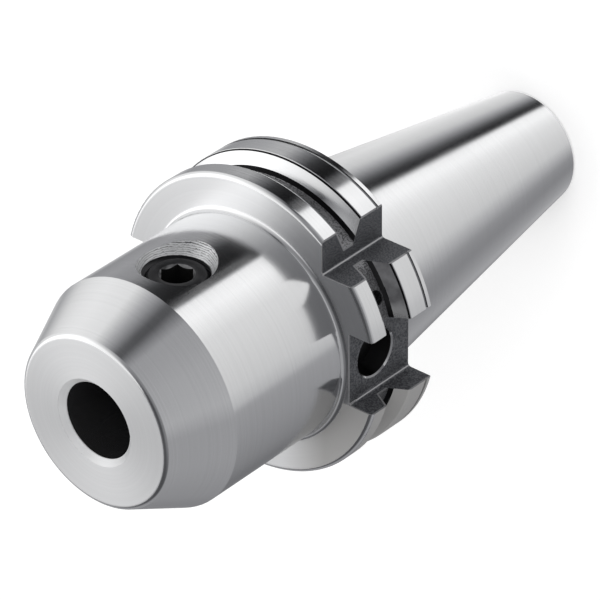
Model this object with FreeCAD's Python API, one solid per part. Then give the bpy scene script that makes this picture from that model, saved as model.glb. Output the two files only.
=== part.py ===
import FreeCAD, Part
import math
import os

# Side lock end mill holder, size 40 steep taper, for a 16 mm tool shank.
# Millimetres. The holder stands on the small end of its taper with its nose up.
# Z runs along the holder and the tool, from the small end (Z = 0) to the nose face.
# The clamping screw points along -Y, the drive slots along -X and +X.

V = FreeCAD.Vector

# Taper
GAUGE_DIA = 44.45            # largest diameter of the 7/24 cone, at the gauge plane
TAPER_RATIO = 7.0 / 24.0     # change of diameter per unit of length
TAPER_LENGTH = 68.4          # small end to gauge plane
SMALL_END_CHAMFER = 0.8      # along the cone and across the end face
RELIEF_DEPTH = 0.5           # grinding relief between cone and flange

# Flange
FLANGE_DIA = 63.55
FLANGE_REAR = 1.2            # gauge plane to the face on the taper side
FLANGE_FRONT = 19.1          # gauge plane to the face on the nose side
REAR_CHAMFER = 0.25
FRONT_ROUND = 1.0
LAND_CHAMFER = 0.3           # broken edges beside the gripper groove
RIB_WIDTH = 1.1              # rib between the rear face and the narrow ring groove
RING_WIDTH = 0.65            # narrow ring groove in the rear land
RING_DEPTH = 0.5

# Gripper groove around the flange
GROOVE_CENTRE = 11.1         # gauge plane to the middle of the groove
GROOVE_DEPTH = 3.65          # flange's outside to the groove floor
GROOVE_FLOOR_WIDTH = 2.86
GROOVE_ANGLE = 60.0          # between the two flanks

# Drive slots across the flange
SLOT_WIDTH = 16.1
SLOT_DEPTH = 6.775           # flange's outside to the floor of the slot on -X
DEEP_SLOT_DEPTH = 8.975      # flange's outside to the floor of the slot on +X
SLOT_CORNER = 0.8            # rounding where floor and walls meet

# Orientation notch between the screw's side and the -X slot, walls along X and Y
NOTCH_DEPTH = 5.683          # flange's outside to the corner between the walls
NOTCH_ROUND = 0.7

# Round seat for a data carrier, in the floor of the -X slot
CARRIER_DIA = 10.0
CARRIER_DEPTH = 4.6
CARRIER_CHAMFER = 0.35

# Small blind hole in the groove floor, between the notch and the -X slot
PIN_HOLE_DIA = 3.0
PIN_HOLE_DEPTH = 6.0
PIN_HOLE_ANGLE = -154.0

# Nose
PROJECTION = 63.0            # gauge plane to nose face
BODY_DIA = 48.0
BODY_ROOT_ROUND = 1.1        # hollow rounding between body and flange
CONE_LENGTH = 13.0           # nose face back to the body's full diameter
CONE_ANGLE = 25.0            # between cone and axis
NOSE_ROUND = 1.2             # rounding of the nose face's rim

# Tool bore
BORE_DIA = 16.0
BORE_DEPTH = 50.0
BORE_CHAMFER = 1.15
COOLANT_DIA = 8.0            # passage from the bore to the pull stud's thread

# Thread for the pull stud
STUD_THREAD_DIA = 16.0
STUD_THREAD_DEPTH = 43.0
STUD_PILOT_DIA = 17.0
STUD_PILOT_DEPTH = 8.2
STUD_CHAMFER = 0.6

# Clamping screw
SCREW_FROM_NOSE = 24.0       # nose face to the screw's axis
SCREW_DIA = 14.0             # over the thread's crests
SCREW_LENGTH = 13.0          # its tip then just clears the tool bore
SCREW_CHAMFER = 1.6
SCREW_RECESS = 2.8           # top of the screw under the body's surface
SCREW_TIP_DIA = 10.5         # flat end that presses on the tool
SCREW_TIP_LENGTH = 1.6
THREAD_CLEARANCE = 0.06      # radial, between the screw's crests and the hole
SINK_ANGLE = 60.0            # countersink at the mouth of the screw's hole
SINK_DEPTH = 1.85            # under the body's surface, where it meets the hole
SOCKET_ACROSS = 6.0          # hexagon, across flats
SOCKET_DEPTH = 5.5
SOCKET_CHAMFER = 0.35
SOCKET_ANGLE = 11.0          # one corner of the hexagon, from +X toward +Z

GAUGE_Z = TAPER_LENGTH
NOSE_Z = GAUGE_Z + PROJECTION
FLANGE_REAR_Z = GAUGE_Z + FLANGE_REAR
FLANGE_FRONT_Z = GAUGE_Z + FLANGE_FRONT
GROOVE_Z = GAUGE_Z + GROOVE_CENTRE
SCREW_Z = NOSE_Z - SCREW_FROM_NOSE
SCREW_TOP = BODY_DIA / 2 - SCREW_RECESS
SMALL_END_DIA = GAUGE_DIA - TAPER_LENGTH * TAPER_RATIO
FLANGE_R = FLANGE_DIA / 2
GROOVE_FLOOR = FLANGE_R - GROOVE_DEPTH
SLOT_FLOOR = FLANGE_R - SLOT_DEPTH
DEEP_SLOT_FLOOR = FLANGE_R - DEEP_SLOT_DEPTH
NOTCH_WALL = (FLANGE_R - NOTCH_DEPTH) / math.sqrt(2)
OUTSIDE = FLANGE_DIA         # reach of a cutter that has to clear the flange
CLEAR = 1.0                  # how far a cutter runs past the face that it opens


def rounded_wire(corners):
    """Closed wire through (x, z, radius) corners; each radius is a tangent arc."""
    points = [V(x, 0, z) for x, z, radius in corners]
    edges = []
    start = None
    first = None
    for i, (x, z, radius) in enumerate(corners):
        here = points[i]
        before = (points[i - 1] - here).normalize()
        after = (points[(i + 1) % len(points)] - here).normalize()
        if radius:
            half = before.getAngle(after) / 2
            reach = radius / math.tan(half)
            enter = here + before * reach
            leave = here + after * reach
            middle = here + (before + after).normalize() * (radius / math.sin(half) - radius)
            arc = Part.Arc(enter, middle, leave).toShape()
        else:
            enter = leave = here
            arc = None
        if start is not None:
            edges.append(Part.makeLine(start, enter))
        else:
            first = enter
        if arc:
            edges.append(arc)
        start = leave
    edges.append(Part.makeLine(start, first))
    return Part.Wire(edges)


def turned(corners):
    """Solid of revolution about Z from a closed half section."""
    return Part.Face(rounded_wire(corners)).revolve(V(0, 0, 0), V(0, 0, 1), 360)


def chamfered_bore(dia, chamfer, depth):
    """Cutter that enters at Z = 0 going down, with a 45 degree chamfer at the mouth."""
    r = dia / 2
    return turned([
        (0, CLEAR, 0),
        (r + chamfer + CLEAR, CLEAR, 0),
        (r, -chamfer, 0),
        (r, -depth, 0),
        (0, -depth, 0),
    ])


def aimed(cutter, mouth, outward):
    """Turns a cutter made at the origin so that its +Z points outward, at the mouth."""
    cutter = cutter.copy()
    cutter.Placement = FreeCAD.Placement(mouth, FreeCAD.Rotation(V(0, 0, 1), outward))
    return cutter


def polar(radius, angle, z):
    a = math.radians(angle)
    return V(radius * math.cos(a), radius * math.sin(a), z)


def blank():
    """The turned and ground outside: taper, relief, flange with groove, body, cone, nose."""
    gauge_r = GAUGE_DIA / 2
    relief_r = gauge_r - RELIEF_DEPTH
    flange_r = FLANGE_R
    body_r = BODY_DIA / 2
    floor_r = GROOVE_FLOOR
    floor_half = GROOVE_FLOOR_WIDTH / 2
    small_r = SMALL_END_DIA / 2
    eased = SMALL_END_CHAMFER
    flank_slope = math.tan(math.radians(GROOVE_ANGLE / 2))
    rim_half = floor_half + (flange_r - floor_r) * flank_slope
    broken = LAND_CHAMFER
    flank_step = broken * flank_slope
    face_r = body_r - CONE_LENGTH * math.tan(math.radians(CONE_ANGLE))
    ring_z = FLANGE_REAR_Z + RIB_WIDTH
    return turned([
        (0, 0, 0),
        (small_r - eased, 0, 0),
        (small_r + eased * TAPER_RATIO / 2, eased, 0),
        (gauge_r, GAUGE_Z, 0),
        (relief_r, GAUGE_Z, 0),
        (relief_r, FLANGE_REAR_Z, 0),
        (flange_r - REAR_CHAMFER, FLANGE_REAR_Z, 0),
        (flange_r, FLANGE_REAR_Z + REAR_CHAMFER, 0),
        (flange_r, ring_z, 0),
        (flange_r - RING_DEPTH, ring_z, 0),
        (flange_r - RING_DEPTH, ring_z + RING_WIDTH, 0),
        (flange_r, ring_z + RING_WIDTH, 0),
        (flange_r, GROOVE_Z - rim_half - LAND_CHAMFER, 0),
        (flange_r - broken, GROOVE_Z - rim_half + flank_step, 0),
        (floor_r, GROOVE_Z - floor_half, 0),
        (floor_r, GROOVE_Z + floor_half, 0),
        (flange_r - broken, GROOVE_Z + rim_half - flank_step, 0),
        (flange_r, GROOVE_Z + rim_half + LAND_CHAMFER, 0),
        (flange_r, FLANGE_FRONT_Z, FRONT_ROUND),
        (body_r, FLANGE_FRONT_Z, BODY_ROOT_ROUND),
        (body_r, NOSE_Z - CONE_LENGTH, 0),
        (face_r, NOSE_Z, NOSE_ROUND),
        (0, NOSE_Z, 0),
    ])


def bore_cutters():
    """Tool bore, coolant passage and the pull stud's hole, all on the axis."""
    down = aimed(chamfered_bore(BORE_DIA, BORE_CHAMFER, BORE_DEPTH), V(0, 0, NOSE_Z), V(0, 0, 1))
    passage = Part.makeCylinder(COOLANT_DIA / 2, NOSE_Z - BORE_DEPTH, V(0, 0, 0))
    pilot = chamfered_bore(STUD_PILOT_DIA, STUD_CHAMFER, STUD_PILOT_DEPTH)
    up = pilot.mirror(V(0, 0, 0), V(0, 0, 1))
    thread = Part.makeCylinder(STUD_THREAD_DIA / 2, STUD_THREAD_DEPTH)
    return [down, passage, up, thread]


def slot_cutter(floor, side):
    """Straight drive slot, milled along Z by a cutter that points at the axis.

    The cutter's round end runs on past the flange, so a floor that lies deeper than
    the body's surface leaves a shallow round-ended flat on the body.
    """
    half = SLOT_WIDTH / 2
    bottom = GAUGE_Z
    reach = OUTSIDE - floor
    box = Part.makeBox(reach, SLOT_WIDTH, FLANGE_FRONT_Z - bottom, V(floor, -half, bottom))
    corners = [e for e in box.Edges if is_along(e, 2) and abs(e.Vertexes[0].X - floor) < 1e-6]
    box = box.makeFillet(SLOT_CORNER, corners)
    end = Part.makeCylinder(half, reach, V(floor, 0, FLANGE_FRONT_Z), V(1, 0, 0))
    cutter = box.fuse(end)
    if side < 0:
        cutter.rotate(V(0, 0, 0), V(0, 0, 1), 180)
    return cutter


def is_along(edge, axis):
    """True for a straight edge that runs along X, Y or Z (0, 1 or 2)."""
    a = edge.Vertexes[0].Point
    b = edge.Vertexes[-1].Point
    return all(abs(a[i] - b[i]) < 1e-6 for i in range(3) if i != axis)


def notch_cutter():
    """Right-angled notch right through the flange, its root rounded."""
    size = OUTSIDE - NOTCH_WALL
    height = FLANGE_FRONT_Z - GAUGE_Z
    box = Part.makeBox(size, size, height, V(NOTCH_WALL, NOTCH_WALL, GAUGE_Z))
    root = [e for e in box.Edges if is_along(e, 2)
            and abs(e.Vertexes[0].X - NOTCH_WALL) < 1e-6 and abs(e.Vertexes[0].Y - NOTCH_WALL) < 1e-6]
    box = box.makeFillet(NOTCH_ROUND, root)
    box.rotate(V(0, 0, 0), V(0, 0, 1), 180)
    return box


def pin_hole_cutter():
    """Radial cutter that enters through the floor of the gripper groove."""
    mouth = polar(GROOVE_FLOOR, PIN_HOLE_ANGLE, GROOVE_Z)
    hole = chamfered_bore(PIN_HOLE_DIA, 0, PIN_HOLE_DEPTH)
    return aimed(hole, mouth, polar(1, PIN_HOLE_ANGLE, 0))


def carrier_cutter():
    hole = chamfered_bore(CARRIER_DIA, CARRIER_CHAMFER, CARRIER_DEPTH)
    return aimed(hole, V(-SLOT_FLOOR, 0, GROOVE_Z), V(-1, 0, 0))


def screw_hole_cutter():
    """Hole from the body's side into the tool bore, with its countersink."""
    radius = SCREW_DIA / 2 + THREAD_CLEARANCE
    surface = BODY_DIA / 2
    reach = SINK_DEPTH + CLEAR
    wide = radius + reach * math.tan(math.radians(SINK_ANGLE / 2))
    hole = Part.makeCylinder(radius, surface)
    sink = Part.makeCone(radius, wide, reach, V(0, 0, surface - SINK_DEPTH))
    return aimed(hole.fuse(sink), V(0, 0, SCREW_Z), V(0, -1, 0))


def holder_body():
    cutters = bore_cutters()
    cutters += [slot_cutter(SLOT_FLOOR, -1), slot_cutter(DEEP_SLOT_FLOOR, 1)]
    cutters += [notch_cutter(), carrier_cutter(), pin_hole_cutter(), screw_hole_cutter()]
    return blank().cut(cutters)


def hexagon_socket():
    """Hexagonal recess from Z = 0 down, with a conical lead-in and a drilled point."""
    corner_r = SOCKET_ACROSS / math.sqrt(3)
    points = [polar(corner_r, SOCKET_ANGLE + 60 * i, -SOCKET_DEPTH) for i in range(7)]
    prism = Part.Face(Part.makePolygon(points)).extrude(V(0, 0, SOCKET_DEPTH + CLEAR))
    inner_r = SOCKET_ACROSS / 2
    mouth_r = corner_r + SOCKET_CHAMFER
    lead = Part.makeCone(inner_r, mouth_r, mouth_r - inner_r, V(0, 0, inner_r - mouth_r))
    point_depth = inner_r / 2
    point = Part.makeCone(0, inner_r, point_depth, V(0, 0, -SOCKET_DEPTH - point_depth))
    return prism.fuse([lead, point])


def clamping_screw():
    """Headless screw with a hexagon socket and a flat tip, top at Z = 0 before it is aimed."""
    r = SCREW_DIA / 2
    tip_r = SCREW_TIP_DIA / 2
    shoulder = SCREW_LENGTH - SCREW_TIP_LENGTH
    blank_screw = turned([
        (0, 0, 0),
        (r - SCREW_CHAMFER, 0, 0),
        (r, -SCREW_CHAMFER, 0),
        (r, -shoulder + (r - tip_r) / 2, 0),
        (tip_r, -shoulder, 0),
        (tip_r, -SCREW_LENGTH, 0),
        (0, -SCREW_LENGTH, 0),
    ])
    screw = blank_screw.cut(hexagon_socket())
    return aimed(screw, V(0, -SCREW_TOP, SCREW_Z), V(0, -1, 0))


def main():
    os.makedirs("parts", exist_ok=True)
    nodes = {
        "holder_body": holder_body(),
        "clamping_screw": clamping_screw(),
    }
    for name, shape in nodes.items():
        shape.exportStep("parts/" + name + ".step")
        print(name, len(shape.Solids), round(shape.Volume), shape.isValid())


main()
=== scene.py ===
# %% [markdown]
# # Side lock end mill holder
#
# A turned and ground steel holder for milling cutters. The steep cone goes into the machine,
# the flange is what the machine's gripper and driving keys take hold of, and the nose holds the
# cutter's shank, which a black screw clamps from the side.
#
# The imported CAD model is the fixed frame of everything here. It is loaded first, and its box is
# kept.

# %% Load the frame
import math
import bmesh
import bpy
from mathutils import Matrix, Vector


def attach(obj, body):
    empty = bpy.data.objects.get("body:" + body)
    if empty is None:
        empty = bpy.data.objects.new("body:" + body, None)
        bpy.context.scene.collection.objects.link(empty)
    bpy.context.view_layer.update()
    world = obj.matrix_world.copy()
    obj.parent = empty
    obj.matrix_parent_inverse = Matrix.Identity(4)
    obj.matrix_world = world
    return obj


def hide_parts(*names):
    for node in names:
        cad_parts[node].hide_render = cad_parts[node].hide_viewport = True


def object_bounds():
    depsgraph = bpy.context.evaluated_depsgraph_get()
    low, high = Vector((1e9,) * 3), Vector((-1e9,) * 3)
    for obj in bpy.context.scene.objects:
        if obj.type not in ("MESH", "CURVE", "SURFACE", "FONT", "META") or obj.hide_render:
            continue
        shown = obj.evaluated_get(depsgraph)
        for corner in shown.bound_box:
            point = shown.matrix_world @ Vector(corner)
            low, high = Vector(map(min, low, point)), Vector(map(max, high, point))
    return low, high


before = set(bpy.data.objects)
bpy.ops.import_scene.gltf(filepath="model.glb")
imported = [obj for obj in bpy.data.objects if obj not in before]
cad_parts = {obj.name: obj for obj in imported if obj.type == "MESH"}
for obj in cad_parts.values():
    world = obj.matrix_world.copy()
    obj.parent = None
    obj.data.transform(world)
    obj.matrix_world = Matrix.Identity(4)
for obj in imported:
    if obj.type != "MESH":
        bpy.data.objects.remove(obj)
cad_box = [list(corner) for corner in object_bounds()]
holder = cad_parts["holder_body"]
scene = bpy.context.scene
MM = 0.001
print("CAD box in mm:", [[round(v / MM, 2) for v in corner] for corner in cad_box])

# %% [markdown]
# ## Sizes that the finishes follow
#
# A finish on a machined part belongs to a cut: the slots and the notch are milled and stay dark,
# and everything else is turned and ground. Each cut is known by its planes, so the materials
# find it from these sizes: radii, heights above the small end and half widths in millimetres.

# %% Sizes in millimetres
GAUGE_Z = 68.4
FLANGE_Z = (GAUGE_Z + 1.2, GAUGE_Z + 19.1)
FLANGE_RADIUS = 31.775
FRONT_ROUND = 1.0
GROOVE_Z = GAUGE_Z + 11.1
GROOVE_FLOOR = 28.125
GROOVE_HALF = 3.7
GROOVE_FLOOR_HALF = 1.43
FLANK_SLOPE = 0.577
SLOT_HALF = 8.05
SLOT_FLOORS = (25.0, 22.8)
NOTCH_WALL = 18.45
SEAT_RADIUS = 5.0
BODY_RADIUS = 24.0
ROOT_ROUND = 1.1
NOSE_Z = GAUGE_Z + 63.0
NOSE_ROUND = 1.2
BORE_RADIUS = 8.0
SCREW_Z = GAUGE_Z + 39.0
SCREW_TOP = 21.2
SINK_RADIUS = 8.3
print("flange from", FLANGE_Z[0], "to", FLANGE_Z[1], "mm above the small end")

# %% [markdown]
# ## The camera
#
# The photograph was taken with a long lens, so the two ends of the holder are almost the same
# size in it. A camera can be turned with three angles, but three directions at right angles are
# easier to fit to a photograph: where its right, its top and its back point. They are the
# columns of its matrix, and the fourth column is its place.

# %% Camera
CAMERA_PLACE = Vector((-473.70, -462.41, 625.88)) * MM
CAMERA_RIGHT = Vector((-0.76313, 0.00798, -0.64619))
CAMERA_UP = Vector((0.34218, -0.84326, -0.41451))
FOCAL_LENGTH = 266.55

camera_data = bpy.data.cameras.new("camera")
camera_data.lens = FOCAL_LENGTH
camera_data.sensor_width = 36.0
camera_data.clip_start = 0.05
camera_data.clip_end = 20.0
camera = bpy.data.objects.new("camera", camera_data)
back = CAMERA_RIGHT.cross(CAMERA_UP).normalized()
up = back.cross(CAMERA_RIGHT).normalized()
right = up.cross(back)
camera.matrix_world = Matrix.Translation(CAMERA_PLACE) @ Matrix((right, up, back)).transposed().to_4x4()
scene.collection.objects.link(camera)
scene.camera = camera
scene.view_settings.view_transform = "Standard"
print("camera", round(CAMERA_PLACE.length, 3), "m from the middle of the small end")

# %% [markdown]
# ## Small helpers for node trees
#
# Shader trees, the world and Geometry Nodes are all made of nodes and links. Long formulas are
# tedious to link one by one, so one helper adds a node, fills its inputs with numbers or links
# them to other nodes, and one class turns each sum into a Math node. The others are short names
# for the three nodes that this file uses most.

# %% Node helper
def fill(tree, socket, value):
    """Links a socket to another output, or sets its number, colour or vector."""
    if isinstance(value, bpy.types.NodeSocket):
        tree.links.new(value, socket)
    else:
        socket.default_value = value


def add(tree, kind, inputs=(), **settings):
    """A new node, with inputs given by number or name."""
    node = tree.nodes.new(kind)
    for name, value in settings.items():
        setattr(node, name, value)
    pairs = inputs.items() if isinstance(inputs, dict) else enumerate(inputs)
    for key, value in pairs:
        fill(tree, node.inputs[key], value)
    return node


class Sums:
    """Arithmetic in one node tree: each call is one Math node, and gives its output."""

    def __init__(self, tree):
        self.tree = tree

    def __getattr__(self, operation):
        def run(*values):
            return add(self.tree, "ShaderNodeMath", values, operation=operation.upper()).outputs[0]
        return run


MIX_SOCKETS = {"FLOAT": (2, 0), "VECTOR": (4, 1), "RGBA": (6, 2)}


def mix(tree, factor, a, b, kind="FLOAT"):
    """Mix of two numbers, vectors or colours."""
    first, result = MIX_SOCKETS[kind]
    node = tree.nodes.new("ShaderNodeMix")
    node.data_type = kind
    for index, value in ((0, factor), (first, a), (first + 1, b)):
        fill(tree, node.inputs[index], value)
    return node.outputs[result]


def fade(tree, value, start, end, low=0.0, high=1.0):
    """Goes from low to high while value goes from start to end, and stays there."""
    return add(tree, "ShaderNodeMapRange", [value, start, end, low, high]).outputs[0]


def noise(tree, place, scale, detail):
    """Cloudy values, mostly between 0.3 and 0.7, with scale features in one unit of place."""
    inputs = {"Vector": place, "Scale": scale, "Detail": detail}
    return add(tree, "ShaderNodeTexNoise", inputs).outputs[0]


print("helpers ready")

# %% [markdown]
# ## The studio
#
# Steel has no colour of its own to speak of: it shows the room. Here the room is white all
# round, as the photograph's background is, and the metal sees that same white through a soft
# overhead light, with a dark card on one side. The card gives the long dark streak that runs
# along the body and the cone, and its sharp edge makes them look ground and not painted.
#
# Lamps could do it, but each would need a place and a size. A world that looks up its
# brightness by direction is easier to set to what a photograph shows, and it is the same for
# each camera. Each profile below is one ring round the horizon: pairs of a compass direction
# in degrees, with 0 along +X and 90 along +Y, and a grey.

# %% Sky profiles
def around(stops):
    """Turns degrees into places from 0 to 1 on a ramp that goes once round."""
    return [((degrees + 180.0) / 360.0, grey) for degrees, grey in stops]


LOW = around([(-180, 0.76), (-156, 0.84), (-126, 0.96), (-111, 1.08), (-97, 1.24), (-80, 1.24),
              (-74, 0.02), (-66, 0.02), (-55, 0.12), (-41, 0.44), (-28, 0.74), (-3, 0.90), (14, 1.0),
              (24, 1.3), (35, 1.6), (50, 0.70), (58, 0.50), (70, 0.50), (82, 0.44), (107, 0.36),
              (125, 0.30), (146, 0.36), (160, 0.52), (180, 0.76)])
LANDS = around([(-180, 0.76), (-150, 0.86), (-128, 0.93), (-104, 1.27), (-90, 1.18), (-87, 0.01),
                (-70, 0.005), (-58, 0.04), (-48, 0.40), (-36, 1.0), (-26, 0.85), (-14, 0.60),
                (-4, 0.44), (14, 0.38), (32, 0.62), (46, 0.60), (54, 0.24), (66, 0.20), (76, 0.20),
                (98, 0.28), (134, 0.37), (160, 0.42), (166, 0.62), (180, 0.76)])
BELOW = around([(-180, 0.76), (-150, 0.86), (-128, 0.93), (-104, 1.27), (-90, 1.18), (-87, 0.01),
                (-70, 0.005), (-55, 0.005), (-42, 0.10), (-30, 0.26), (-6, 0.40), (20, 0.32),
                (32, 0.66), (46, 0.60), (54, 0.24), (66, 0.20), (76, 0.20), (98, 0.28), (134, 0.37),
                (160, 0.42), (166, 0.62), (180, 0.76)])
LEVEL = around([(-180, 0.56), (-144, 0.54), (-107, 0.44), (-92, 0.08), (-86, 0.10), (-72, 0.46),
                (-55, 0.97), (-30, 1.06), (0, 0.98), (9, 0.84), (23, 0.54), (40, 0.42), (67, 0.38),
                (98, 0.36), (129, 0.41), (163, 0.42), (180, 0.56)])
HIGH = around([(-180, 0.24), (-150, 0.26), (-115, 0.28), (-91, 0.36), (-69, 0.70), (-53, 1.05),
               (-42, 1.30), (-28, 1.50), (-7, 1.62), (20, 1.60), (36, 1.30), (48, 0.62), (60, 0.16),
               (83, 0.08), (110, 0.10), (140, 0.20), (160, 0.24), (180, 0.24)])
TOP = around([(-180, 0.07), (-147, 0.08), (-115, 0.18), (-91, 0.28), (-69, 0.55), (-53, 0.85),
              (-28, 1.2), (20, 1.1), (60, 0.22), (100, 0.08), (180, 0.07)])
PROFILES = [(-47, LOW), (-41.5, LANDS), (-39.8, BELOW), (-37, BELOW), (-12, LEVEL), (10, LEVEL),
            (24, HIGH), (44, HIGH), (66, TOP)]
print("profiles at", [degrees for degrees, stops in PROFILES], "degrees of height")

# %% [markdown]
# ## From profiles to a world
#
# Each profile becomes a colour ramp that is read by the compass direction of a ray, and the
# ray's height says which two neighbours are blended. Only the metal's reflections see that.
# Matte surfaces get one plain light from all round, so that their colours stay what they are,
# and for the camera the room is white. Light Path says which kind of ray asks. The dark parts
# of the studio lean a little to blue, as they do in steel under daylight lamps.

# %% World
PLAIN_LIGHT = 0.8
SHADE_TINT = (0.93, 0.94, 1.0, 1)


def set_stops(ramp, stops):
    """Puts places and their greys on a colour ramp."""
    ramp.interpolation = "LINEAR"
    while len(ramp.elements) < len(stops):
        ramp.elements.new(0.5)
    for element, (place, grey) in zip(ramp.elements, stops):
        element.position = place
        element.color = (grey, grey, grey, 1.0)


world = bpy.data.worlds.new("studio")
scene.world = world
world.use_nodes = True
tree = world.node_tree
tree.nodes.clear()
sums = Sums(tree)
direction = add(tree, "ShaderNodeTexCoord").outputs["Generated"]
axes = add(tree, "ShaderNodeSeparateXYZ", [direction])
compass = sums.arctan2(axes.outputs["Y"], axes.outputs["X"])
compass = sums.multiply_add(compass, 0.5 / math.pi, 0.5)
seen = None
lower = None
for degrees, stops in PROFILES:
    ramp = add(tree, "ShaderNodeValToRGB", [compass])
    set_stops(ramp.color_ramp, stops)
    grey = ramp.outputs["Color"]
    height = math.sin(math.radians(degrees))
    if seen is not None:
        grey = mix(tree, fade(tree, axes.outputs["Z"], lower, height), seen, grey)
    seen = grey
    lower = height
path = add(tree, "ShaderNodeLightPath")
strength = mix(tree, path.outputs["Is Glossy Ray"], PLAIN_LIGHT, seen)
clear = sums.maximum(path.outputs["Is Camera Ray"], path.outputs["Is Transmission Ray"])
strength = mix(tree, clear, strength, 1.0)
tint = mix(tree, fade(tree, strength, 0.0, PLAIN_LIGHT), SHADE_TINT, (1, 1, 1, 1), "RGBA")
sky = add(tree, "ShaderNodeBackground", {"Color": tint, "Strength": strength})
add(tree, "ShaderNodeOutputWorld", [sky.outputs[0]])
print("studio world:", len(tree.nodes), "nodes")

# %% [markdown]
# ## The floor
#
# The holder stands on its small end, as such holders are stored, on a plain white floor. The
# picture's background has to be pure white, and a floor that is only painted white turns grey
# where less light falls on it. So the camera sees a floor with a little light of its own on top
# of its paint, which lifts it to white and keeps the soft shadow round the small end. The steel
# doesn't mirror the floor, as its reflections are the studio's, so glossy rays pass through it.

# %% Floor
def new_material(name):
    """An empty node material and its tree."""
    material = bpy.data.materials.new(name)
    material.use_nodes = True
    material.node_tree.nodes.clear()
    return material, material.node_tree


FLOOR_HALF = 3.0
FLOOR_GREY = 0.88
FLOOR_GLOW = 0.26

floor_mesh = bpy.data.meshes.new("floor")
corners = [(-1, -1), (1, -1), (1, 1), (-1, 1)]
corners = [(x * FLOOR_HALF, y * FLOOR_HALF, cad_box[0][2]) for x, y in corners]
floor_mesh.from_pydata(corners, [], [(0, 1, 2, 3)])
floor = bpy.data.objects.new("floor", floor_mesh)
scene.collection.objects.link(floor)
floor_paint, tree = new_material("floor_paint")
path = add(tree, "ShaderNodeLightPath")
paint = add(tree, "ShaderNodeBsdfDiffuse", {"Color": (FLOOR_GREY, FLOOR_GREY, FLOOR_GREY, 1)})
glow = Sums(tree).multiply(path.outputs["Is Camera Ray"], FLOOR_GLOW)
glow = add(tree, "ShaderNodeEmission", {"Color": (1, 1, 1, 1), "Strength": glow})
both = add(tree, "ShaderNodeAddShader", [paint.outputs[0], glow.outputs[0]])
add(tree, "ShaderNodeOutputMaterial", [both.outputs[0]])
floor_mesh.materials.append(floor_paint)
floor.visible_glossy = False
print("floor at z =", cad_box[0][2])

# %% [markdown]
# ## Two soft lamps
#
# The world lights the matte surfaces evenly, and even light alone hides their shape. One large
# lamp from above and behind the camera's left and a weaker one from the other side give the
# milled slots a light side and a dark side. Both are big and soft, and neither shows as a
# lamp in the steel.

# %% Lamps
LAMP_AIM = Vector((0, 0, 0.07))


def soft_lamp(name, place, power, size):
    """A square area lamp that points at the middle of the holder."""
    data = bpy.data.lights.new(name, "AREA")
    data.shape = "SQUARE"
    data.size = size
    data.energy = power
    lamp = bpy.data.objects.new(name, data)
    lamp.location = place
    lamp.rotation_euler = (LAMP_AIM - Vector(place)).to_track_quat("-Z", "Y").to_euler()
    lamp.visible_glossy = False
    scene.collection.objects.link(lamp)


soft_lamp("key_lamp", (-0.35, -0.75, 0.95), 4.0, 0.7)
soft_lamp("fill_lamp", (-0.9, 0.45, 0.5), 1.5, 0.6)
print("two lamps")

# %% [markdown]
# ## Turning marks, as a node group
#
# A lathe leaves rings: every point at the same distance from the axis and the same height was
# under the same tip of the tool. So the marks are a pattern of radius and height alone, with no
# angle in it. One group makes that pattern from Object coordinates, and each steel in the scene
# uses it with its own spacing.

# %% Turning marks group
def new_group(name, inputs, outputs):
    """A shader node group with named float or vector sockets."""
    group = bpy.data.node_groups.new(name, "ShaderNodeTree")
    for title, kind, value in inputs:
        socket = group.interface.new_socket(title, in_out="INPUT", socket_type="NodeSocket" + kind)
        socket.default_value = value
    for title, kind in outputs:
        group.interface.new_socket(title, in_out="OUTPUT", socket_type="NodeSocket" + kind)
    return group, group.nodes.new("NodeGroupInput"), group.nodes.new("NodeGroupOutput")


def length_of(sums, a, b):
    """Length of a vector with the parts a and b."""
    return sums.sqrt(sums.add(sums.multiply(a, a), sums.multiply(b, b)))


marks, given, result = new_group(
    "turning_marks", [("Position", "Vector", (0, 0, 0)), ("Spacing", "Float", 0.3)], [("Rings", "Float")])
sums = Sums(marks)
x, y, z = add(marks, "ShaderNodeSeparateXYZ", [given.outputs["Position"]]).outputs
ring_place = add(marks, "ShaderNodeCombineXYZ", [length_of(sums, x, y), z, 0.0])
scale = sums.divide(1 / MM, given.outputs["Spacing"])
rings = add(marks, "ShaderNodeTexNoise", {"Vector": ring_place.outputs[0], "Scale": scale, "Detail": 2.0},
            noise_dimensions="2D")
marks.links.new(rings.outputs[0], result.inputs["Rings"])
print("group turning_marks")

# %% [markdown]
# ## Finishes, painted light and painted shade by place, as a node group
#
# The slots and the notch are milled and blackened by the heat treatment: matte, dark and finely
# speckled. The light grey line where two walls meet and along their outer edges is a painted
# highlight. The skin between them is turned and ground. A painted texture could show that, but
# would need a map for each face. This group asks of each point whether it lies on the planes of a
# cut, and puts out one mask for each finish and each patch of painted light or shade, 1 on it and
# 0 elsewhere. It is built in three steps, cuts first.

# %% Masks of the milled cuts
EDGE = 0.02
ROOT_WIDTH = 0.32
RIM_WIDTH = 0.38
MASKS = ("Cut", "Root", "Edge", "Groove", "Groove Light", "Flank", "Shade", "Low Side Reflection", "Face", "Hole",
         "Satin", "Mouth")


def within(sums, value, low, high):
    """1 where value lies between low and high."""
    return sums.multiply(sums.greater_than(value, low), sums.less_than(value, high))


def in_millimetres(tree, position):
    """A position in millimetres."""
    return add(tree, "ShaderNodeVectorMath", [position, (1 / MM,) * 3], operation="MULTIPLY").outputs[0]


def parts_of(tree, vector):
    """The X, Y and Z parts of a vector."""
    return add(tree, "ShaderNodeSeparateXYZ", [vector]).outputs


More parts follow.
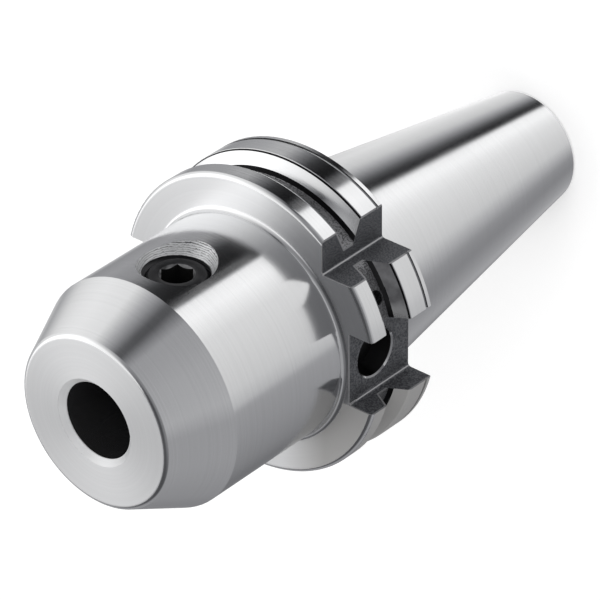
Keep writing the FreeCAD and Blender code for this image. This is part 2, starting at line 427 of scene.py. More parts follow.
milled, given, result = new_group("milled_faces", [("Position", "Vector", (0, 0, 0))],
                                  [(name, "Float") for name in MASKS])
sums = Sums(milled)
x, y, z = parts_of(milled, in_millimetres(milled, given.outputs["Position"]))
radius = length_of(sums, x, y)
across = sums.absolute(y)
in_flange = within(sums, z, FLANGE_Z[0] - EDGE, FLANGE_Z[1] + EDGE)
past_floor = sums.maximum(sums.less_than(x, EDGE - SLOT_FLOORS[0]),
                          sums.greater_than(x, SLOT_FLOORS[1] - EDGE))
slot = sums.multiply(past_floor, sums.less_than(across, SLOT_HALF + EDGE))
notch = sums.multiply(sums.less_than(x, EDGE - NOTCH_WALL), sums.less_than(y, EDGE - NOTCH_WALL))
cut = sums.multiply(in_flange, sums.maximum(slot, notch))
# Painted highlight: a light line where two walls of a cut meet.
slot_root = sums.multiply(sums.greater_than(across, SLOT_HALF - ROOT_WIDTH),
                          sums.less_than(sums.absolute(x), SLOT_FLOORS[0] + ROOT_WIDTH))
notch_root = sums.multiply(sums.greater_than(x, -NOTCH_WALL - ROOT_WIDTH),
                           sums.greater_than(y, -NOTCH_WALL - ROOT_WIDTH))
root_highlight = sums.maximum(sums.multiply(slot, slot_root), sums.multiply(notch, notch_root))
root_highlight = sums.multiply(cut, root_highlight)
print("masks of the slots and the notch")

# %% [markdown]
# ## The gripper groove and the lands beside it
#
# The groove's floor is speckled like the slots, and its speckle lightens towards the notch: painted
# light. Its rear flank meets the floor in a band of painted shade, and that flank's broken edge
# and the narrow ring in the rear land are painted dark lines of shade too. Where a slot cuts
# through the groove, the wall has a painted highlight, a light rim along the groove's outline,
# whose distance is the larger of two plain sums: one for the sloping flank and one for the floor.
#
# Not all of the flange is equally bright. The rear flank between notch and slot is painted darker
# as shade, smudged by a noise and lighter again towards the slot. The lands and faces on the other
# side of the slot get a flat, dull grey steel, a painted reflection in place of what the steel
# mirrors there. Both stretches fade out along X, because a hard border would look painted.

# %% Masks of the groove and the lands
FLOOR_SKIN = (-0.2, 0.1)
DARK_BAND = 0.95
BROKEN_WIDTH = 0.32
RING_Z = (FLANGE_Z[0] + 1.3, FLANGE_Z[0] + 1.8)
RING_WIDTH = 0.6
RING_SHARE = 0.8
FRONT_RIM = 0.3
GROOVE_RIM_BACK = 1.3
NOTCH_END = (-16.2, -18.2)
SLOT_END = (-11.2, -8.3)
SHADE_FADE = (-16.0, -21.0)
SHADE_STOP = 0.3
LOW_SIDE_FADE = (-8.0, -19.0)

in_groove = within(sums, z, GROOVE_Z - GROOVE_HALF, GROOVE_Z + GROOVE_HALF)
rear = sums.multiply(in_groove, sums.less_than(z, GROOVE_Z))
above_floor = sums.subtract(radius, GROOVE_FLOOR)
groove = sums.multiply(in_groove, within(sums, above_floor, *FLOOR_SKIN))
# Painted light: the groove floor lightens towards the notch.
groove_light = sums.multiply(groove, fade(milled, y, *NOTCH_END, 0.5, 1.5))
# Painted reflection: past the slot, the lands and faces get a flat grey steel.
low_side_reflection = sums.multiply(sums.greater_than(y, SLOT_HALF), fade(milled, x, *LOW_SIDE_FADE))
broken = within(sums, radius, FLANGE_RADIUS - BROKEN_WIDTH, FLANGE_RADIUS - EDGE)
broken = sums.multiply(broken, sums.subtract(1.0, low_side_reflection))
# Painted shade: a dark band at the rear flank's foot, with dark lines on its broken edge and in the rear
# land's ring.
flank_shade = sums.multiply(rear, sums.maximum(within(sums, above_floor, FLOOR_SKIN[1], DARK_BAND), broken))
ring = within(sums, radius, FLANGE_RADIUS - RING_WIDTH, FLANGE_RADIUS - EDGE)
ring = sums.multiply(ring, within(sums, z, *RING_Z))
flank_shade = sums.maximum(flank_shade, sums.multiply(ring, RING_SHARE))
lands = sums.multiply(sums.greater_than(above_floor, DARK_BAND),
                      sums.less_than(z, FLANGE_Z[1] - FRONT_ROUND))
lands = sums.maximum(lands, sums.greater_than(z, FLANGE_Z[1] - EDGE))
low_side_reflection = sums.multiply(low_side_reflection, sums.multiply(lands, in_flange))
# Painted shade on the rear flank between notch and slot, lighter towards the slot's end.
shade = sums.multiply(fade(milled, x, *SHADE_FADE), sums.less_than(y, 0.0))
shade = sums.multiply(shade, fade(milled, y, *SLOT_END, 1.0, 0.25))
on_flank = within(sums, radius, GROOVE_FLOOR + FLOOR_SKIN[1], FLANGE_RADIUS - SHADE_STOP)
shade = sums.multiply(shade, sums.multiply(rear, on_flank))
past_flank = sums.subtract(sums.absolute(sums.subtract(z, GROOVE_Z)), GROOVE_FLOOR_HALF)
past_flank = sums.subtract(past_flank, sums.multiply(above_floor, FLANK_SLOPE))
from_groove = sums.maximum(past_flank, sums.multiply(above_floor, -1.0))
# Painted highlight: a light rim along each cut's outer edges and along the groove's outline.
groove_rim = sums.multiply(within(sums, from_groove, -EDGE, RIM_WIDTH),
                           sums.greater_than(z, GROOVE_Z - GROOVE_RIM_BACK))
rim = sums.maximum(sums.greater_than(radius, FLANGE_RADIUS - RIM_WIDTH),
                   sums.greater_than(z, FLANGE_Z[1] - FRONT_RIM))
rim = sums.multiply(cut, sums.maximum(rim, groove_rim))
print("masks of the groove, the lands and the rims")

# %% [markdown]
# ## Faces and holes
#
# The two flat faces towards the nose are turned, and blur more than the ground skin. Inside the
# bores little light comes back, and a bored wall is never polished, so holes get a darker steel,
# partly painted shade. The seat for the data carrier is painted near black as the deep shade it
# lies in, darker than the slot round it. The tool bore's mouth has a satin chamfer, and the
# countersink over the screw has coarse bored rings.

# %% Masks of the faces and the holes
BORE_SKIN = 0.6
MOUTH_CHAMFER = (1.13, 1.3)
PIN_HOLE_HALF = 2.7
PIN_HOLE_START = 0.25
SEAT_SHARE = 0.92
OUTER_SIDE = -20.0

face = sums.maximum(within(sums, z, NOSE_Z - EDGE, NOSE_Z + EDGE),
                    within(sums, z, FLANGE_Z[1] - EDGE, FLANGE_Z[1] + EDGE))
from_seat = length_of(sums, y, sums.subtract(z, GROOVE_Z))
seat = sums.multiply(sums.less_than(x, OUTER_SIDE), sums.less_than(from_seat, SEAT_RADIUS + EDGE))
# The data carrier's seat gets the same painted shade.
flank_shade = sums.maximum(flank_shade, sums.multiply(seat, SEAT_SHARE))
drilled = sums.multiply(sums.less_than(radius, GROOVE_FLOOR - PIN_HOLE_START),
                        within(sums, z, GROOVE_Z - PIN_HOLE_HALF, GROOVE_Z + PIN_HOLE_HALF))
drilled = sums.multiply(drilled, sums.subtract(1.0, seat))
on_axis = sums.multiply(sums.less_than(radius, BORE_RADIUS + BORE_SKIN),
                        sums.less_than(z, NOSE_Z - MOUTH_CHAMFER[1]))
# Holes: a darker steel, partly painted shade.
hole = sums.maximum(drilled, on_axis)
satin = sums.multiply(sums.less_than(radius, BORE_RADIUS + MOUTH_CHAMFER[0]),
                      sums.greater_than(z, NOSE_Z - MOUTH_CHAMFER[1]))
from_screw = length_of(sums, x, sums.subtract(z, SCREW_Z))
mouth = sums.multiply(sums.less_than(from_screw, SINK_RADIUS), sums.less_than(y, OUTER_SIDE))
mouth = sums.multiply(mouth, sums.less_than(radius, BODY_RADIUS - EDGE))
found = (cut, root_highlight, rim, groove, groove_light, flank_shade, shade, low_side_reflection, face, hole, satin, mouth)
for title, value in zip(MASKS, found):
    milled.links.new(value, result.inputs[title])
print("group milled_faces:", len(MASKS), "masks from", len(milled.nodes), "nodes")

# %% [markdown]
# ## True roundings, as a node group
#
# The steel part has three turned roundings: round the nose face, at the flange's front edge and
# in the corner between flange and body. The mesh makes them of narrow flat strips, and polished
# metal would show every strip. But a turned rounding is a piece of a ring with a known centre, so
# the group works out its exact direction at each point from the distance to that centre, and
# hands on the mesh's own direction everywhere else. A row holds the centre's radius and height,
# 1 for a full rounding or -1 for a hollow one, and the radii and heights that it spans.

# %% True roundings group
HAIR = 0.002
NOSE_ROUND_CENTRE = 17.1735
NOSE_ROUND_RADII = (17.17, 18.6)
NOSE_ROUND_HEIGHT = 0.70
ROUNDINGS = (
    (NOSE_ROUND_CENTRE, NOSE_Z - NOSE_ROUND, 1.0,
     NOSE_ROUND_RADII, (NOSE_Z - NOSE_ROUND_HEIGHT, NOSE_Z - HAIR)),
    (BODY_RADIUS + ROOT_ROUND, FLANGE_Z[1] + ROOT_ROUND, -1.0,
     (BODY_RADIUS - 0.01, BODY_RADIUS + ROOT_ROUND), (FLANGE_Z[1] + HAIR, FLANGE_Z[1] + ROOT_ROUND)),
    (FLANGE_RADIUS - FRONT_ROUND, FLANGE_Z[1] - FRONT_ROUND, 1.0,
     (FLANGE_RADIUS - FRONT_ROUND, FLANGE_RADIUS + 0.1), (FLANGE_Z[1] - FRONT_ROUND, FLANGE_Z[1] - HAIR)))

smooth, given, result = new_group("true_roundings", [("Position", "Vector", (0, 0, 0))],
                                  [("Normal", "Vector")])
sums = Sums(smooth)
x, y, z = parts_of(smooth, in_millimetres(smooth, given.outputs["Position"]))
radius = length_of(sums, x, y)
normal = add(smooth, "ShaderNodeNewGeometry").outputs["Normal"]
for centre_radius, centre_z, side, radii, heights in ROUNDINGS:
    outward = sums.divide(sums.multiply(sums.subtract(radius, centre_radius), side), radius)
    upward = sums.multiply(sums.subtract(z, centre_z), side)
    true = [sums.multiply(x, outward), sums.multiply(y, outward), upward]
    true = add(smooth, "ShaderNodeCombineXYZ", true)
    true = add(smooth, "ShaderNodeVectorTransform", [true.outputs[0]], vector_type="NORMAL",
               convert_from="OBJECT", convert_to="WORLD")
    share = sums.multiply(within(sums, radius, *radii), within(sums, z, *heights))
    normal = mix(smooth, share, normal, true.outputs[0], "VECTOR")
smooth.links.new(normal, result.inputs["Normal"])
print("group true_roundings:", len(ROUNDINGS), "roundings")

# %% [markdown]
# ## Rings of a bored mouth, as a node group
#
# The countersink over the clamping screw is bored with a coarse feed, and its wall shows a handful
# of dark rings, a third of a millimetre apart. They lie round the screw's axis, so they depend
# on the depth alone. Clean rings would look drawn, so one noise lets them wander and another
# makes some deeper than others. The holder and the threaded sleeve below share the group, so the
# rings run on from one to the other.

# %% Bored rings group
RING_SPACING = 0.36
WANDER = (0.5, 0.45)

bored, given, result = new_group("bored_rings", [("Position", "Vector", (0, 0, 0))],
                                 [("Line", "Float"), ("Height", "Float")])
sums = Sums(bored)
here = in_millimetres(bored, given.outputs["Position"])
patch = noise(bored, here, 2.2, 3.0)
wander = sums.multiply_add(patch, WANDER[1], sums.multiply(noise(bored, here, 0.35, 1.0), WANDER[0]))
feed = sums.divide(sums.add(wander, parts_of(bored, here)["Y"]), RING_SPACING)
wave = sums.absolute(sums.multiply_add(sums.fract(feed), 2.0, -1.0))
depth = add(bored, "ShaderNodeTexNoise", {"W": sums.floor(feed), "Scale": 7.3}, noise_dimensions="1D")
weight = fade(bored, sums.add(depth.outputs[0], patch), 0.8, 1.15, 0.25, 1.0)
bored.links.new(sums.multiply(fade(bored, wave, 0.62, 0.15), weight), result.inputs["Line"])
bored.links.new(sums.multiply(wave, weight), result.inputs["Height"])
print("group bored_rings: a ring every", RING_SPACING, "mm")

# %% [markdown]
# ## The steel of the holder
#
# Ground steel reflects sharply along the grinding lines and blurs across them. The Principled
# shader does that with an anisotropic highlight, which needs a tangent: here the direction
# round the axis, from a cross product of the axis and the place. A quarter turn of it puts
# the blur along the holder, so the dark streak keeps its crisp sides and has soft ends.
#
# All the finishes are in one material, because they are on one mesh, and the mesh stays as it
# is. The colour starts as bare steel, and the masks lay the others over it one after another;
# where two masks overlap, the later one wins.

# %% Colours of the holder
STEEL = (0.765, 0.768, 0.775, 1)
STEEL_DULL = (0.705, 0.708, 0.715, 1)
MILLED = (0.050, 0.052, 0.058, 1)
MILLED_LIGHT = (0.145, 0.148, 0.158, 1)
# Painted highlights: light grey lines at the cuts' corners and outer edges.
ROOT_HIGHLIGHT_GREY = (0.40, 0.40, 0.41, 1)
EDGE_HIGHLIGHT_GREY = (0.30, 0.30, 0.31, 1)
GROOVE_GREY = (0.10, 0.10, 0.105, 1)
# The lighter groove grey is painted light near the notch.
GROOVE_PAINTED_LIGHT = (0.34, 0.34, 0.35, 1)
# Near black painted shade for the groove's dark band and lines and for the seat.
PAINTED_SHADE_BLACK = (0.012, 0.012, 0.013, 1)
# Painted shade for the rear flank between notch and slot, smudged by a noise.
SHADED = (0.11, 0.11, 0.115, 1)
SHADED_LIGHT = (0.23, 0.23, 0.24, 1)
# A flat, dull grey that stands in for reflections there: painted reflection.
LOW_SIDE_REFLECTION_GREY = (0.43, 0.425, 0.42, 1)
BORED = (0.66, 0.665, 0.675, 1)
BORED_LINE = (0.045, 0.045, 0.048, 1)
# A darker steel inside the holes, partly painted shade.
HOLE_SHADE_GREY = (0.22, 0.22, 0.23, 1)


def group_node(tree, group, **inputs):
    """A group placed in a tree, with its inputs filled or linked."""
    node = tree.nodes.new("ShaderNodeGroup")
    node.node_tree = group
    for name, value in inputs.items():
        fill(tree, node.inputs[name], value)
    return node


ground_steel, tree = new_material("ground_steel")
sums = Sums(tree)
position = add(tree, "ShaderNodeTexCoord").outputs["Object"]
mask = group_node(tree, milled, Position=position).outputs
rings = group_node(tree, marks, Position=position, Spacing=0.34).outputs["Rings"]
bored_rings = group_node(tree, bored, Position=position).outputs
speckle = fade(tree, noise(tree, position, 3300.0, 2.0), 0.39, 0.61)
smudge = fade(tree, noise(tree, position, 280.0, 3.0), 0.35, 0.65)
# Painted reflection on the lands and faces past the slot.
low_side_reflection = sums.multiply(mask["Low Side Reflection"], sums.subtract(1.0, mask["Flank"]))
cut_colour = mix(tree, speckle, MILLED, MILLED_LIGHT, "RGBA")
# The cuts' corners and outer edges get painted highlights.
cut_colour = mix(tree, mask["Root"], cut_colour, ROOT_HIGHLIGHT_GREY, "RGBA")
cut_colour = mix(tree, mask["Edge"], cut_colour, EDGE_HIGHLIGHT_GREY, "RGBA")
# The groove floor's speckle is lighter towards the notch: painted light.
lit = sums.multiply(speckle, mask["Groove Light"])
groove_colour = mix(tree, lit, GROOVE_GREY, GROOVE_PAINTED_LIGHT, "RGBA")
shade_colour = mix(tree, smudge, SHADED, SHADED_LIGHT, "RGBA")
shade_colour = mix(tree, mask["Flank"], shade_colour, PAINTED_SHADE_BLACK, "RGBA")
mouth_colour = mix(tree, bored_rings["Line"], BORED, BORED_LINE, "RGBA")
base = mix(tree, rings, STEEL, STEEL_DULL, "RGBA")
for share, colour in ((mask["Groove"], groove_colour), (mask["Flank"], PAINTED_SHADE_BLACK),
                      (mask["Shade"], shade_colour), (low_side_reflection, LOW_SIDE_REFLECTION_GREY),
                      (mask["Hole"], HOLE_SHADE_GREY), (mask["Cut"], cut_colour),
                      (mask["Mouth"], mouth_colour)):
    base = mix(tree, share, base, colour, "RGBA")
print("colours of the holder:", len(tree.nodes), "nodes so far")

# %% [markdown]
# ## Gloss and relief of the holder
#
# The same masks set how sharply each finish reflects and how much of its light is a metal's
# mirror: a blackened or bored face scatters more. The relief is a bump of a few thousandths of a
# millimetre: rings on the ground skin, speckles on the milled faces, and deeper rings in the
# countersink. The milled faces keep the mesh's own direction, as they have no turned rounding.

# %% Gloss and relief of the holder
GROUND_ROUGH = (0.12, 0.16)
TURNED_ROUGH = 0.30
MATTE_ROUGH = 0.5
CUT_ROUGH = 0.52
BORED_ROUGH = 0.42
SATIN_ROUGH = 0.4
MATTE_METAL = 0.5
CUT_METAL = 0.55
BORED_METAL = 0.55
SATIN_METAL = 0.4
HOLE_METAL = 0.93

matte = sums.maximum(mask["Shade"], low_side_reflection)
dull = sums.maximum(sums.maximum(mask["Groove"], mask["Flank"]), matte)
rough = fade(tree, noise(tree, position, 60.0, 3.0), 0.3, 0.7, *GROUND_ROUGH)
for share, value in ((mask["Face"], TURNED_ROUGH), (dull, MATTE_ROUGH), (mask["Cut"], CUT_ROUGH),
                     (mask["Mouth"], BORED_ROUGH), (mask["Satin"], SATIN_ROUGH)):
    rough = mix(tree, share, rough, value)
metal = 1.0
for share, value in ((mask["Mouth"], BORED_METAL), (matte, MATTE_METAL), (mask["Hole"], HOLE_METAL),
                     (mask["Satin"], SATIN_METAL), (mask["Cut"], CUT_METAL)):
    metal = mix(tree, share, metal, value)
height = mix(tree, mask["Cut"], rings, speckle)
height = mix(tree, mask["Mouth"], height, sums.multiply(bored_rings["Height"], 2.0))
true = group_node(tree, smooth, Position=position).outputs["Normal"]
normal = mix(tree, mask["Cut"], true, add(tree, "ShaderNodeNewGeometry").outputs["Normal"], "VECTOR")
bump = add(tree, "ShaderNodeBump", {"Strength": 0.35, "Distance": 0.000012, "Height": height,
                                    "Normal": normal})
around_axis = add(tree, "ShaderNodeVectorMath", [(0, 0, 1), position], operation="CROSS_PRODUCT")
tangent = add(tree, "ShaderNodeVectorMath", [around_axis.outputs[0]], operation="NORMALIZE")
shader = add(tree, "ShaderNodeBsdfPrincipled", {
    "Base Color": base, "Metallic": metal, "Roughness": rough, "Normal": bump.outputs[0],
    "Anisotropic": 0.75, "Anisotropic Rotation": 0.25, "Tangent": tangent.outputs[0]})
add(tree, "ShaderNodeOutputMaterial", [shader.outputs[0]])
holder.data.materials[0] = ground_steel
print("holder steel on", len(holder.data.polygons), "faces")

# %% [markdown]
# ## Threads, with Geometry Nodes
#
# The clamping screw has a thread, and so do its hole and the hole for the pull stud. A thread is
# a rule: going once round lifts the same profile by one pitch. So one tree makes all of them.
# It starts from a flat grid, reads each point's column as an angle and its row as a height,
# and lets the distance from the axis follow the profile at that height less the lift of
# that angle. Changing one input gives another thread, which a modelled helix can't do.
#
# Both ends of a thread run out on a cone, where the hole is countersunk or the screw chamfered.
# A hole keeps the wider of cone and thread, and a screw the narrower. The clamping screw's hole
# also ends in the wall of the tool bore, so nothing of it may stand in that bore.

# %% Thread tree
STEPS_ROUND = 72
STEPS_PER_TURN = 16
FLANK_SPAN = (0.125, 0.75)
THREAD_INPUTS = (("Outer Radius", "Float", 7.0), ("Inner Radius", "Float", 5.9),
                 ("Pitch", "Float", 2.0), ("Bottom", "Float", 0.0), ("Top", "Float", 20.0),
                 ("Turns", "Int", 10),
                 ("Top Cone Radius", "Float", 7.0), ("Top Cone Slope", "Float", 1.0),
                 ("Foot Cone Radius", "Float", 7.0), ("Foot Cone Slope", "Float", 1.0),
                 ("Hollow", "Float", 0.0), ("Crossing Bore Radius", "Float", 0.0),
                 ("Start Angle", "Float", 0.0), ("Material", "Material", None))


def thread_tree():
    """Open threaded tube about Z, in metres, from inputs in millimetres."""
    tree = bpy.data.node_groups.new("thread", "GeometryNodeTree")
    for title, kind, value in THREAD_INPUTS:
        socket = tree.interface.new_socket(title, in_out="INPUT", socket_type="NodeSocket" + kind)
        if value is not None:
            socket.default_value = value
    tree.interface.new_socket("Geometry", in_out="OUTPUT", socket_type="NodeSocketGeometry")
    given = add(tree, "NodeGroupInput").outputs
    sums = Sums(tree)
    rows = sums.add(sums.multiply(given["Turns"], STEPS_PER_TURN), 1.0)
    grid = add(tree, "GeometryNodeMeshGrid", {"Size X": 1.0, "Size Y": 1.0,
                                              "Vertices X": STEPS_ROUND + 1, "Vertices Y": rows})
    place = add(tree, "GeometryNodeInputPosition").outputs[0]
    column, row = add(tree, "ShaderNodeSeparateXYZ", [place]).outputs[:2]
    angle = sums.multiply_add(column, 2 * math.pi, sums.add(given["Start Angle"], math.pi))
    across = sums.multiply(given["Inner Radius"], sums.cosine(angle))
    bore = given["Crossing Bore Radius"]
    wall = sums.subtract(sums.multiply(bore, bore), sums.multiply(across, across))
    wall = sums.sqrt(sums.maximum(wall, 0.0))
    bottom = sums.maximum(given["Bottom"], wall)
    height = sums.multiply_add(sums.add(row, 0.5), sums.subtract(given["Top"], bottom), bottom)
    turn = sums.divide(angle, 2 * math.pi)
    phase = sums.fract(sums.subtract(sums.divide(height, given["Pitch"]), turn))
    from_crest = sums.absolute(sums.multiply_add(phase, 2.0, -1.0))
    fall = fade(tree, from_crest, *FLANK_SPAN)
    radius = mix(tree, fall, given["Outer Radius"], given["Inner Radius"])
    top_cone = sums.multiply_add(sums.subtract(height, given["Top"]), given["Top Cone Slope"],
                                 given["Top Cone Radius"])
    foot_cone = sums.multiply_add(sums.subtract(height, bottom), given["Foot Cone Slope"],
                                  given["Foot Cone Radius"])
    narrow = sums.minimum(radius, sums.minimum(top_cone, foot_cone))
    wide = sums.maximum(radius, sums.maximum(top_cone, foot_cone))
    radius = mix(tree, given["Hollow"], narrow, wide)
    point = add(tree, "ShaderNodeCombineXYZ", [sums.multiply(radius, sums.cosine(angle)),
                                               sums.multiply(radius, sums.sine(angle)), height])
    in_metres = add(tree, "ShaderNodeVectorMath", [point.outputs[0], (MM,) * 3], operation="MULTIPLY")
    moved = add(tree, "GeometryNodeSetPosition", {"Geometry": grid.outputs[0],
                                                  "Position": in_metres.outputs[0]})
    joined = add(tree, "GeometryNodeMergeByDistance", {"Geometry": moved.outputs[0], "Distance": 1e-7})
    real = add(tree, "GeometryNodeRealizeInstances", [joined.outputs[0]])
    dressed = add(tree, "GeometryNodeSetMaterial", {"Geometry": real.outputs[0],
                                                    "Material": given["Material"]})
    add(tree, "NodeGroupOutput", [dressed.outputs[0]])
    return tree


thread_nodes = thread_tree()
print("thread tree:", len(thread_nodes.nodes), "nodes")

# %% [markdown]
# ## From a thread to a closed piece
#
# The tree gives only the threaded skin. A real piece is closed, so that it has an inside and an
# outside: the skin's two open rims are carried on by further rings of points, one point for each
# column of the skin, and the last ring is filled or joined. Working ring by ring keeps every
# face a clean quad, and the hexagon is no exception: its ring just has a radius that
# changes with the angle.

# %% Threads and rings
def threaded_skin(name, material, **values):
    """Runs the thread tree and gives its result as a plain mesh object."""
    thing = bpy.data.objects.new(name, bpy.data.meshes.new(name))
    scene.collection.objects.link(thing)
    modifier = thing.modifiers.new("thread", "NODES")
    modifier.node_group = thread_nodes
    values["Material"] = material
    for socket in thread_nodes.interface.items_tree:
        given = values.get(socket.name.replace(" ", "_"))
        if socket.in_out == "INPUT" and given is not None:
            modifier[socket.identifier] = given
    evaluated = thing.evaluated_get(bpy.context.evaluated_depsgraph_get())
    mesh = bpy.data.meshes.new_from_object(evaluated)
    thing.modifiers.remove(modifier)
    mesh.materials.clear()
    mesh.materials.append(material)
    mesh.polygons.foreach_set("material_index", [0] * len(mesh.polygons))
    thing.data = mesh
    return thing


def rims(work, start_angle):
    """The skin's two open rims, lower first, each in order of angle."""
    loose = {v for e in work.edges if e.is_boundary for v in e.verts}
    middle = sum(v.co.z for v in work.verts) / len(work.verts)
    lower = [v for v in loose if v.co.z < middle]
    upper = [v for v in loose if v.co.z > middle]
    step = 2 * math.pi / STEPS_ROUND

    def column(v):
        return round((math.atan2(v.co.y, v.co.x) - start_angle) / step) % STEPS_ROUND

    return sorted(lower, key=column), sorted(upper, key=column)


def carry_on(work, rim, rings, start_angle):
    """Adds rings of (radius, height) in millimetres, each a number or a function of angle."""
    for radius, height in rings:
        fresh = []
        for k in range(STEPS_ROUND):
            angle = start_angle + 2 * math.pi * k / STEPS_ROUND
            r = radius(angle) if callable(radius) else radius
            h = height(angle) if callable(height) else height
            fresh.append(work.verts.new(Vector((r * math.cos(angle), r * math.sin(angle), h)) * MM))
        join(work, rim, fresh)
        rim = fresh
    return rim


def join(work, a, b):
    """Quads between two rings."""
    for k in range(STEPS_ROUND):
        n = (k + 1) % STEPS_ROUND
        work.faces.new((a[k], a[n], b[n], b[k]))


def close_piece(thing, work, sharp=32.0):
    """Writes the work back with its faces outward and smooth up to sharp degrees."""
    bmesh.ops.recalc_face_normals(work, faces=work.faces)
    open_edges = sum(e.is_boundary for e in work.edges)
    for face in work.faces:
        face.smooth = True
    for edge in work.edges:
        edge.smooth = edge.calc_face_angle(0.0) < math.radians(sharp)
    work.to_mesh(thing.data)
    work.free()
    print(thing.name, len(thing.data.polygons), "faces,", open_edges, "open edges")


print("ring helpers ready:", STEPS_ROUND, "points round")

# %% [markdown]
# ## Blackened steel
#
# The clamping screw is blackened: a thin oxide film that stays slightly glossy and gets lighter
# where tools rub it. On the hexagon's lead-in, lighter patches are a painted glint, laid out as if
# rubbed to bare steel. The flat walls under it see hardly any light, so they are painted near
# black as shade. The material tells lead-in and walls apart by the way they face: the walls stand
# square to the screw's end, and the lead-in leans. Everything deeper than a millimetre counts as
# wall.

# %% Blackened steel
BLACK = (0.008, 0.008, 0.009, 1)
BLACK_RUBBED = (0.020, 0.020, 0.022, 1)
# Painted shade for the socket's walls.
SOCKET_SHADE_BLACK = (0.002, 0.002, 0.002, 1)
# A painted glint for the hexagon's lead-in.
LEAD_IN_GLINT = (0.15, 0.15, 0.155, 1)
SOCKET_REACH = 3.75
WALL_FACING = 0.4
SOCKET_ROUGH = 0.8

black_steel, tree = new_material("blackened_steel")
sums = Sums(tree)
position = add(tree, "ShaderNodeTexCoord").outputs["Object"]
cloud = noise(tree, position, 420.0, 4.0)
grain = noise(tree, position, 5200.0, 2.0)
x, y, z = parts_of(tree, in_millimetres(tree, position))
from_axis = length_of(sums, x, sums.subtract(z, SCREW_Z))
inside = sums.multiply(sums.less_than(from_axis, SOCKET_REACH), sums.greater_than(y, 0.04 - SCREW_TOP))
facing = add(tree, "ShaderNodeNewGeometry").outputs["Normal"]
facing = sums.absolute(parts_of(tree, facing)["Y"])
walls = sums.maximum(sums.less_than(facing, WALL_FACING), sums.greater_than(y, 1.0 - SCREW_TOP))
socket = sums.multiply(inside, walls)
# Painted glint: lighter patches of noise on the lead-in.
glint = sums.multiply(inside, fade(tree, cloud, 0.44, 0.62, 0.1, 1.0))
base = mix(tree, fade(tree, cloud, 0.42, 0.68), BLACK, BLACK_RUBBED, "RGBA")
base = mix(tree, glint, base, LEAD_IN_GLINT, "RGBA")
# Painted shade: the socket's walls go near black.
base = mix(tree, socket, base, SOCKET_SHADE_BLACK, "RGBA")
rough = mix(tree, socket, fade(tree, cloud, 0.3, 0.7, 0.34, 0.46), SOCKET_ROUGH)
bump = add(tree, "ShaderNodeBump", {"Strength": 0.3, "Distance": 0.00001, "Height": grain})
shader = add(tree, "ShaderNodeBsdfPrincipled", {
    "Base Color": base, "Metallic": 0.0, "Roughness": rough, "Specular IOR Level": 0.28,
    "Normal": bump.outputs[0]})
add(tree, "ShaderNodeOutputMaterial", [shader.outputs[0]])
print("blackened steel:", len(tree.nodes), "nodes")

# %% [markdown]
# ## Steel of a cut thread
#
# The threads in the holder are bare steel like their surroundings, but cut with a tap, so their
# marks run round the hole and not round the holder. A Mapping node turns Object coordinates, so
# that the same marks group works there too. Two holes with different axes need two materials
# from one function. Above the screw, the side hole's sleeve carries on the countersink's rings,
# and beside the screw its thread is in deep shade.

# %% Steel of a cut thread
THREAD_SHADE = (0.025, 0.025, 0.027, 1)
QUARTER = math.pi / 2


def thread_steel(name, place, tilt, mouth_at=None):
    """Bare steel with marks round the axis of a hole through place, tilted about X.

    Outside mouth_at, in millimetres along -Y, the bored rings take over.
    """
    material, tree = new_material(name)
    sums = Sums(tree)
    position = add(tree, "ShaderNodeTexCoord").outputs["Object"]
    turned = add(tree, "ShaderNodeMapping", {"Vector": position, "Location": place,
                                             "Rotation": (tilt, 0, 0)}, vector_type="TEXTURE")
    rings = group_node(tree, marks, Position=turned.outputs[0], Spacing=0.38).outputs["Rings"]
    base = mix(tree, rings, STEEL, STEEL_DULL, "RGBA")
    rough = fade(tree, rings, 0.3, 0.7, 0.24, 0.36)
    metal = 1.0
    if mouth_at is not None:
        y = parts_of(tree, position)["Y"]
        mouth = sums.less_than(y, -mouth_at * MM)
        line = group_node(tree, bored, Position=position).outputs["Line"]
        base = mix(tree, mouth, base, mix(tree, line, BORED, BORED_LINE, "RGBA"), "RGBA")
        rough = mix(tree, mouth, rough, BORED_ROUGH)
        metal = mix(tree, mouth, metal, BORED_METAL)
        shaded = sums.greater_than(y, (0.05 - SCREW_TOP) * MM)
        base = mix(tree, shaded, base, THREAD_SHADE, "RGBA")
    bump = add(tree, "ShaderNodeBump", {"Strength": 0.6, "Distance": 0.00004, "Height": rings})
    shader = add(tree, "ShaderNodeBsdfPrincipled", {
        "Base Color": base, "Metallic": metal, "Roughness": rough, "Normal": bump.outputs[0]})
    add(tree, "ShaderNodeOutputMaterial", [shader.outputs[0]])
    return material


side_thread_steel = thread_steel("side_thread_steel", (0, 0, SCREW_Z * MM), QUARTER, mouth_at=20.2)
axial_thread_steel = thread_steel("axial_thread_steel", (0, 0, 0), 0.0)
print("two thread steels")

# %% [markdown]
# ## The clamping screw
#
# It is a headless screw with a hexagon socket, and its flat tip presses on the flat of the
# tool's shank. The thread tree gives its side. Two rings make the tip, and seven make the top:
# its face, the socket's conical lead-in, whose lower edge rises and falls where the cone meets
# the six flats, the flats, and the point that the drill left. It replaces the plain CAD screw.

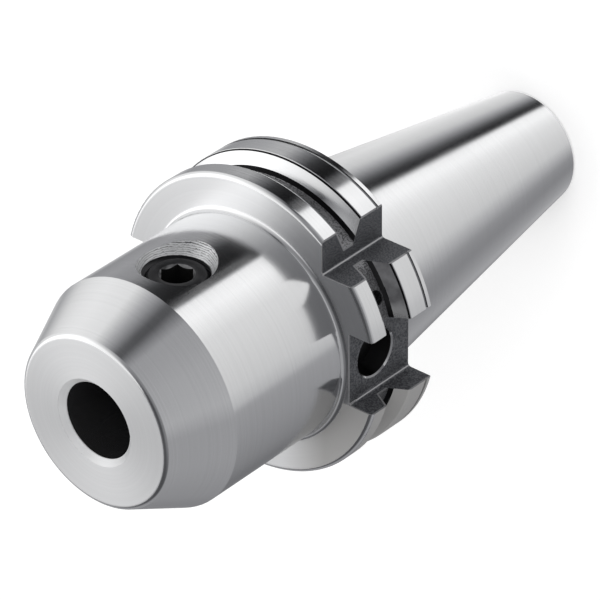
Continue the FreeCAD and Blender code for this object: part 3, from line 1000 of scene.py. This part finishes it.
# %% Clamping screw
SCREW_LENGTH = 13.0
SCREW_THREAD = (6.98, 5.86)
TIP_LENGTH = 1.6
TIP_RADIUS = 5.25
SHOULDER = SCREW_TOP - SCREW_LENGTH + TIP_LENGTH
TOP_CHAMFER_RADIUS = 5.52
TOP_FACE_RADIUS = 5.3
HALF_FLATS = 3.0
HEX_TURN = math.radians(11.0)
CORNER_RADIUS = HALF_FLATS / math.cos(math.radians(30))
LEAD_IN_RADIUS = CORNER_RADIUS + 0.03
LEAD_IN_TOP = SCREW_TOP - 0.03
SOCKET_BOTTOM = SCREW_TOP - 5.5
DRILL_POINT = 1.4
TO_SIDE = Matrix(((1, 0, 0, 0), (0, 0, -1, 0), (0, 1, 0, SCREW_Z * MM), (0, 0, 0, 1)))


def hexagon(angle):
    """Distance from the socket's axis to its wall in that direction."""
    sixth = math.radians(60)
    return HALF_FLATS / math.cos((angle - HEX_TURN) % sixth - sixth / 2)


def lead_in(angle):
    """Height at which the conical lead-in meets the socket's wall."""
    return LEAD_IN_TOP - (LEAD_IN_RADIUS - hexagon(angle))


screw = threaded_skin("threaded_screw", black_steel, Outer_Radius=SCREW_THREAD[0],
                      Inner_Radius=SCREW_THREAD[1], Bottom=SHOULDER, Top=SCREW_TOP - 0.12, Turns=6,
                      Top_Cone_Radius=TOP_CHAMFER_RADIUS, Top_Cone_Slope=-1.0,
                      Foot_Cone_Radius=TIP_RADIUS, Foot_Cone_Slope=2.0, Start_Angle=HEX_TURN)
work = bmesh.new()
work.from_mesh(screw.data)
low, high = rims(work, HEX_TURN)
tip = carry_on(work, low, [(TIP_RADIUS, SHOULDER - TIP_LENGTH + 0.3),
                           (TIP_RADIUS - 0.3, SHOULDER - TIP_LENGTH)], HEX_TURN)
work.faces.new(tip)
point = carry_on(work, high, [
    (TOP_FACE_RADIUS, SCREW_TOP), (LEAD_IN_RADIUS + 0.05, SCREW_TOP), (LEAD_IN_RADIUS, LEAD_IN_TOP),
    (hexagon, lead_in), (hexagon, SOCKET_BOTTOM), (HALF_FLATS - 0.1, SOCKET_BOTTOM),
    (0.2, SOCKET_BOTTOM - DRILL_POINT)], HEX_TURN)
work.faces.new(point)
close_piece(screw, work)
screw.data.transform(TO_SIDE)
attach(screw, "screw")
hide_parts("clamping_screw")

# %% [markdown]
# ## The threads in the holder
#
# The CAD holes are plain, at the thread's outer diameter. A threaded sleeve fills each of them:
# its skin is the thread, and its back lies a hair inside the steel round the hole, so that no
# gap shows. The clamping screw's sleeve starts with the countersink and ends at the tool bore.
# The pull stud's sleeve can only be seen from below, through the pilot bore.

# %% Threaded sleeves
def sleeve(name, material, place, back_radius, ends, **values):
    """A closed sleeve with its thread on the inside."""
    thing = threaded_skin(name, material, Bottom=ends[0], Top=ends[1], Hollow=1.0, **values)
    work = bmesh.new()
    work.from_mesh(thing.data)
    low, high = rims(work, 0.0)
    bore = values.get("Crossing_Bore_Radius", 0.0)

    def foot(angle):
        across = values["Inner_Radius"] * math.cos(angle)
        return max(ends[0], math.sqrt(max(bore ** 2 - across ** 2, 0.0)))

    back = carry_on(work, high, [(back_radius, ends[1]), (back_radius, foot)], 0.0)
    join(work, back, low)
    close_piece(thing, work)
    thing.data.transform(place)
    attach(thing, "holder")


sleeve("screw_hole_thread", side_thread_steel, TO_SIDE, 7.09, (3.6, 22.13), Outer_Radius=7.03,
       Inner_Radius=5.95, Turns=9, Top_Cone_Radius=7.045, Top_Cone_Slope=0.577,
       Foot_Cone_Radius=7.02, Foot_Cone_Slope=-4.0, Crossing_Bore_Radius=BORE_RADIUS + 0.03)
sleeve("pull_stud_thread", axial_thread_steel, Matrix.Identity(4), 8.03, (8.25, 42.9),
       Outer_Radius=7.98, Inner_Radius=6.92, Turns=17, Top_Cone_Radius=6.92, Top_Cone_Slope=0.0,
       Foot_Cone_Radius=7.98, Foot_Cone_Slope=-1.0)
